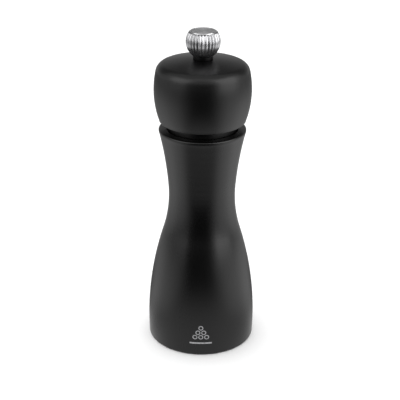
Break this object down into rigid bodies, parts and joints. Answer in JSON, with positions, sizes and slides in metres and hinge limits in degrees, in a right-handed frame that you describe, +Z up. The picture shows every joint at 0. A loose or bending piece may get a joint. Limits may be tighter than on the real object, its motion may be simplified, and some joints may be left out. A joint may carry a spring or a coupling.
{
  "type": "pepper mill",
  "caption": "Waisted table pepper mill: a turned black wooden body and head, a steel burr set on a square shaft, and a fluted metal knob that sets the grind.",
  "frame": {"origin": "centre of the foot ring, on the surface that the mill stands on", "axes": "+Z up the drive shaft, from the foot to the knob"},
  "size_m": [0.0506, 0.0506, 0.15],
  "materials": {
    "lacquered_wood": "satin black lacquer",
    "polished_knob": "polished, fluted",
    "satin_disc": "satin",
    "zinc_steel": "zinc plated",
    "burr_steel": "case hardened, dark",
    "spring_steel": "drawn wire",
    "brass_insert": "turned",
    "black_nylon": "moulded"
  },
  "bodies": {
    "body": {"mill_body": "lacquered_wood", "grinding_ring": "burr_steel", "grinder_bridge": "zinc_steel", "retaining_plate": "zinc_steel", "retaining_screws": "zinc_steel"},
    "seat": {"spring_washer": "zinc_steel", "thrust_spring": "spring_steel"},
    "spindle": {"drive_shaft": "zinc_steel", "grinding_cone": "burr_steel", "cone_washer": "zinc_steel"},
    "head": {"mill_head": "lacquered_wood", "drive_plate": "zinc_steel", "drive_plate_screws": "zinc_steel"},
    "knob": {"adjusting_knob": "polished_knob", "knob_disc": "satin_disc", "knob_insert": "brass_insert", "knob_washer": "black_nylon"}
  },
  "joints": [
    {"name": "head_turn", "type": "hinge", "parent": "body", "child": "seat", "pos_m": [0, 0, 0.03], "axis": [0, 0, 1], "continuous": true},
    {"name": "shaft_rise", "type": "slide", "parent": "seat", "child": "spindle", "axis": [0, 0, 1], "range_m": [-0.0009, 0.0006], "deforming": ["thrust_spring"]},
    {"name": "head_lift", "type": "slide", "parent": "seat", "child": "head", "axis": [0, 0, 1], "range_m": [0, 0.055]},
    {"name": "knob_turn", "type": "hinge", "parent": "head", "child": "knob", "pos_m": [0, 0, 0.145], "axis": [0, 0, 1], "range_deg": [-216, 324]}
  ],
  "couplings": [
    {"joint": "knob_turn", "follows": "shaft_rise", "rad_per_m": -6283.2}
  ]
}
